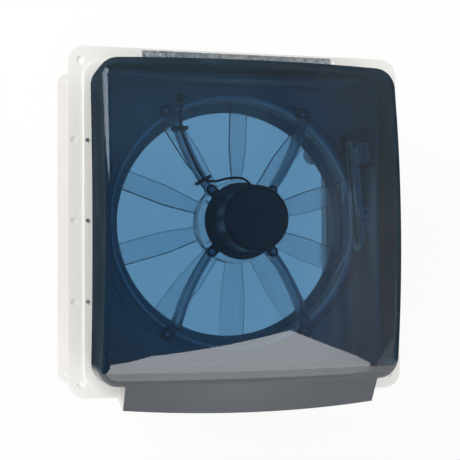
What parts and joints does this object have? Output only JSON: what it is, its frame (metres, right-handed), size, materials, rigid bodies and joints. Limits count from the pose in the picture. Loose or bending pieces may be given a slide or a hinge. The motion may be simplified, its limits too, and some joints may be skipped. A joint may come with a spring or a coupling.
{
  "type": "caravan roof vent",
  "caption": "Square powered roof vent with a tinted crank-up lid on a rear hinge, a fan on a strut-borne motor, an insect screen and an interior trim.",
  "frame": {"origin": "centre of the roof flange's underside", "axes": "+Z out of the roof, +Y towards the lid's hinge, +X to the right as seen from the front"},
  "size_m": [0.42, 0.436, 0.279],
  "materials": {
    "body_white": "fine satin moulding",
    "trim_white": "fine satin moulding",
    "shroud_plastic": "satin",
    "lid_tinted": "high gloss, smoke blue tint",
    "seal_rubber": "matt",
    "zinc_steel": "galvanised spangle",
    "rivet_alloy": "satin",
    "screw_steel": "zinc plated",
    "shaft_steel": "ground",
    "strut_plastic": "translucent",
    "fan_plastic": "translucent, fine texture",
    "motor_steel": "dark satin",
    "magnet_ferrite": "dull",
    "armature_iron": "dull",
    "bush_brass": "dull",
    "lead_sheath": "satin",
    "tie_nylon": "satin",
    "case_plastic": "satin",
    "screen_plastic": "satin",
    "net_fibre": "matt",
    "knob_plastic": "satin"
  },
  "bodies": {
    "base": {"base_frame": "body_white", "lid_seal": "seal_rubber", "flange_side_screws": "screw_steel", "hinge_fixed_leaf": "zinc_steel", "hinge_pin": "zinc_steel", "fixed_leaf_rivets": "rivet_alloy", "fan_shroud": "shroud_plastic", "shroud_screws": "screw_steel", "motor_strut_rear_right": "strut_plastic", "motor_strut_rear_left": "strut_plastic", "motor_strut_front_right": "strut_plastic", "motor_strut_front_left": "strut_plastic", "strut_screws": "screw_steel", "motor_flange": "motor_steel", "motor_can": "motor_steel", "motor_magnets": "magnet_ferrite", "motor_bearings": "bush_brass", "motor_screws": "screw_steel", "motor_lead": "lead_sheath", "cable_ties": "tie_nylon", "lead_grommet": "seal_rubber", "gear_case_body": "case_plastic", "gear_case_cover": "case_plastic", "gear_case_screws": "screw_steel", "gear_bushes": "bush_brass", "trim_frame": "trim_white", "trim_screws": "screw_steel", "insect_screen_frame": "screen_plastic", "insect_screen_net": "net_fibre", "button_screws": "screw_steel", "control_box": "case_plastic", "fuse_cap": "knob_plastic", "supply_grommet": "seal_rubber"},
    "lid": {"lid_dome": "lid_tinted", "hinge_moving_leaf": "zinc_steel", "moving_leaf_rivets": "rivet_alloy", "track_plate": "zinc_steel", "track_screws": "screw_steel"},
    "lift_arm": {"lift_arm": "zinc_steel", "arm_pin": "shaft_steel", "pivot_shaft": "shaft_steel", "worm_wheel": "bush_brass"},
    "crank": {"worm_shaft": "shaft_steel", "crank_knob": "knob_plastic", "crank_screw": "screw_steel"},
    "fan": {"fan_rotor": "fan_plastic", "motor_shaft": "shaft_steel", "motor_armature": "armature_iron", "fan_nut": "screw_steel"},
    "speed_knob": {"speed_knob": "knob_plastic"},
    "button_right": {"screen_button_right": "screen_plastic"},
    "button_rear": {"screen_button_rear": "screen_plastic"},
    "button_left": {"screen_button_left": "screen_plastic"},
    "button_front": {"screen_button_front": "screen_plastic"}
  },
  "joints": [
    {"name": "lid_hinge", "type": "hinge", "parent": "base", "child": "lid", "pos_m": [0, 0.195, 0.007], "axis": [-1, 0, 0], "range_deg": [0, 60]},
    {"name": "arm_pivot", "type": "hinge", "parent": "base", "child": "lift_arm", "pos_m": [0.14, 0.08545, 0.03029], "axis": [-1, 0, 0], "range_deg": [0, 120]},
    {"name": "crank_turn", "type": "hinge", "parent": "base", "child": "crank", "pos_m": [0.1516, 0.10405, 0], "axis": [0, 0, 1], "range_deg": [0, 2400]},
    {"name": "fan_spin", "type": "hinge", "parent": "base", "child": "fan", "pos_m": [0, 0, -0.021], "axis": [0, 0, 1], "continuous": true},
    {"name": "speed_turn", "type": "hinge", "parent": "base", "child": "speed_knob", "pos_m": [-0.1516, 0.10405, -0.143], "axis": [0, 0, -1], "range_deg": [0, 270]},
    {"name": "button_right_turn", "type": "hinge", "parent": "base", "child": "button_right", "pos_m": [0.1632, 0, -0.113], "axis": [0, 0, 1], "range_deg": [0, 90]},
    {"name": "button_rear_turn", "type": "hinge", "parent": "base", "child": "button_rear", "pos_m": [0, 0.1632, -0.113], "axis": [0, 0, 1], "range_deg": [0, 90]},
    {"name": "button_left_turn", "type": "hinge", "parent": "base", "child": "button_left", "pos_m": [-0.1632, 0, -0.113], "axis": [0, 0, 1], "range_deg": [0, 90]},
    {"name": "button_front_turn", "type": "hinge", "parent": "base", "child": "button_front", "pos_m": [0, -0.1632, -0.113], "axis": [0, 0, 1], "range_deg": [0, 90]}
  ],
  "couplings": [
    {"joint": "arm_pivot", "follows": "lid_hinge", "ratio": 2},
    {"joint": "crank_turn", "follows": "lid_hinge", "ratio": 40}
  ]
}
